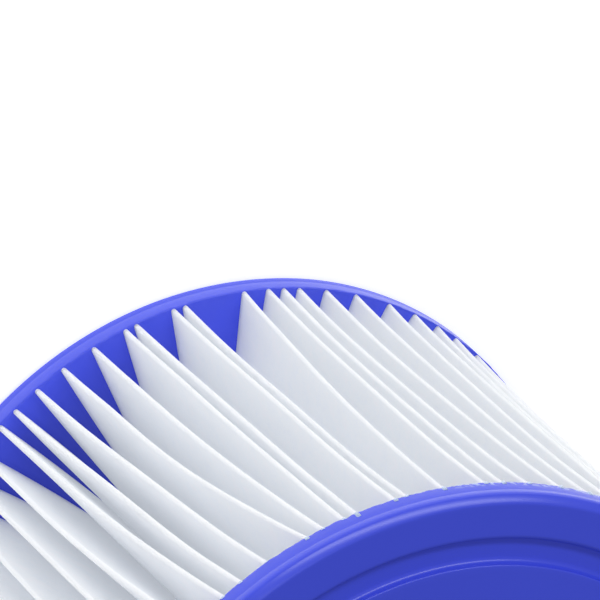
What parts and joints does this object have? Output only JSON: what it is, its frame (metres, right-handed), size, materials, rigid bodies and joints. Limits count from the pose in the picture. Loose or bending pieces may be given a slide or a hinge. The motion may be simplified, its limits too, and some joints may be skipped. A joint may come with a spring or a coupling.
{
  "type": "filter cartridge",
  "caption": "Short pleated filter cartridge: white folded media round a slotted core tube, with a blue cast end cap with a ring channel and a round passage at each end.",
  "frame": {"origin": "centre of the lower end face, where the cartridge's axis meets it", "axes": "+Z along the cartridge's axis from the lower end cap to the upper one; X and Y across it, with the pleat seam near +Y"},
  "size_m": [0.106, 0.106, 0.08],
  "materials": {
    "cap_blue": "satin, cast polyurethane",
    "media_white": "matte non-woven polyester",
    "adhesive": "satin hot-melt glue",
    "core_white": "satin moulded plastic"
  },
  "bodies": {
    "root": {"top_end_cap": "cap_blue", "bottom_end_cap": "cap_blue", "pleated_media": "media_white", "seam_bead": "adhesive", "core_tube": "core_white"}
  },
  "joints": []
}
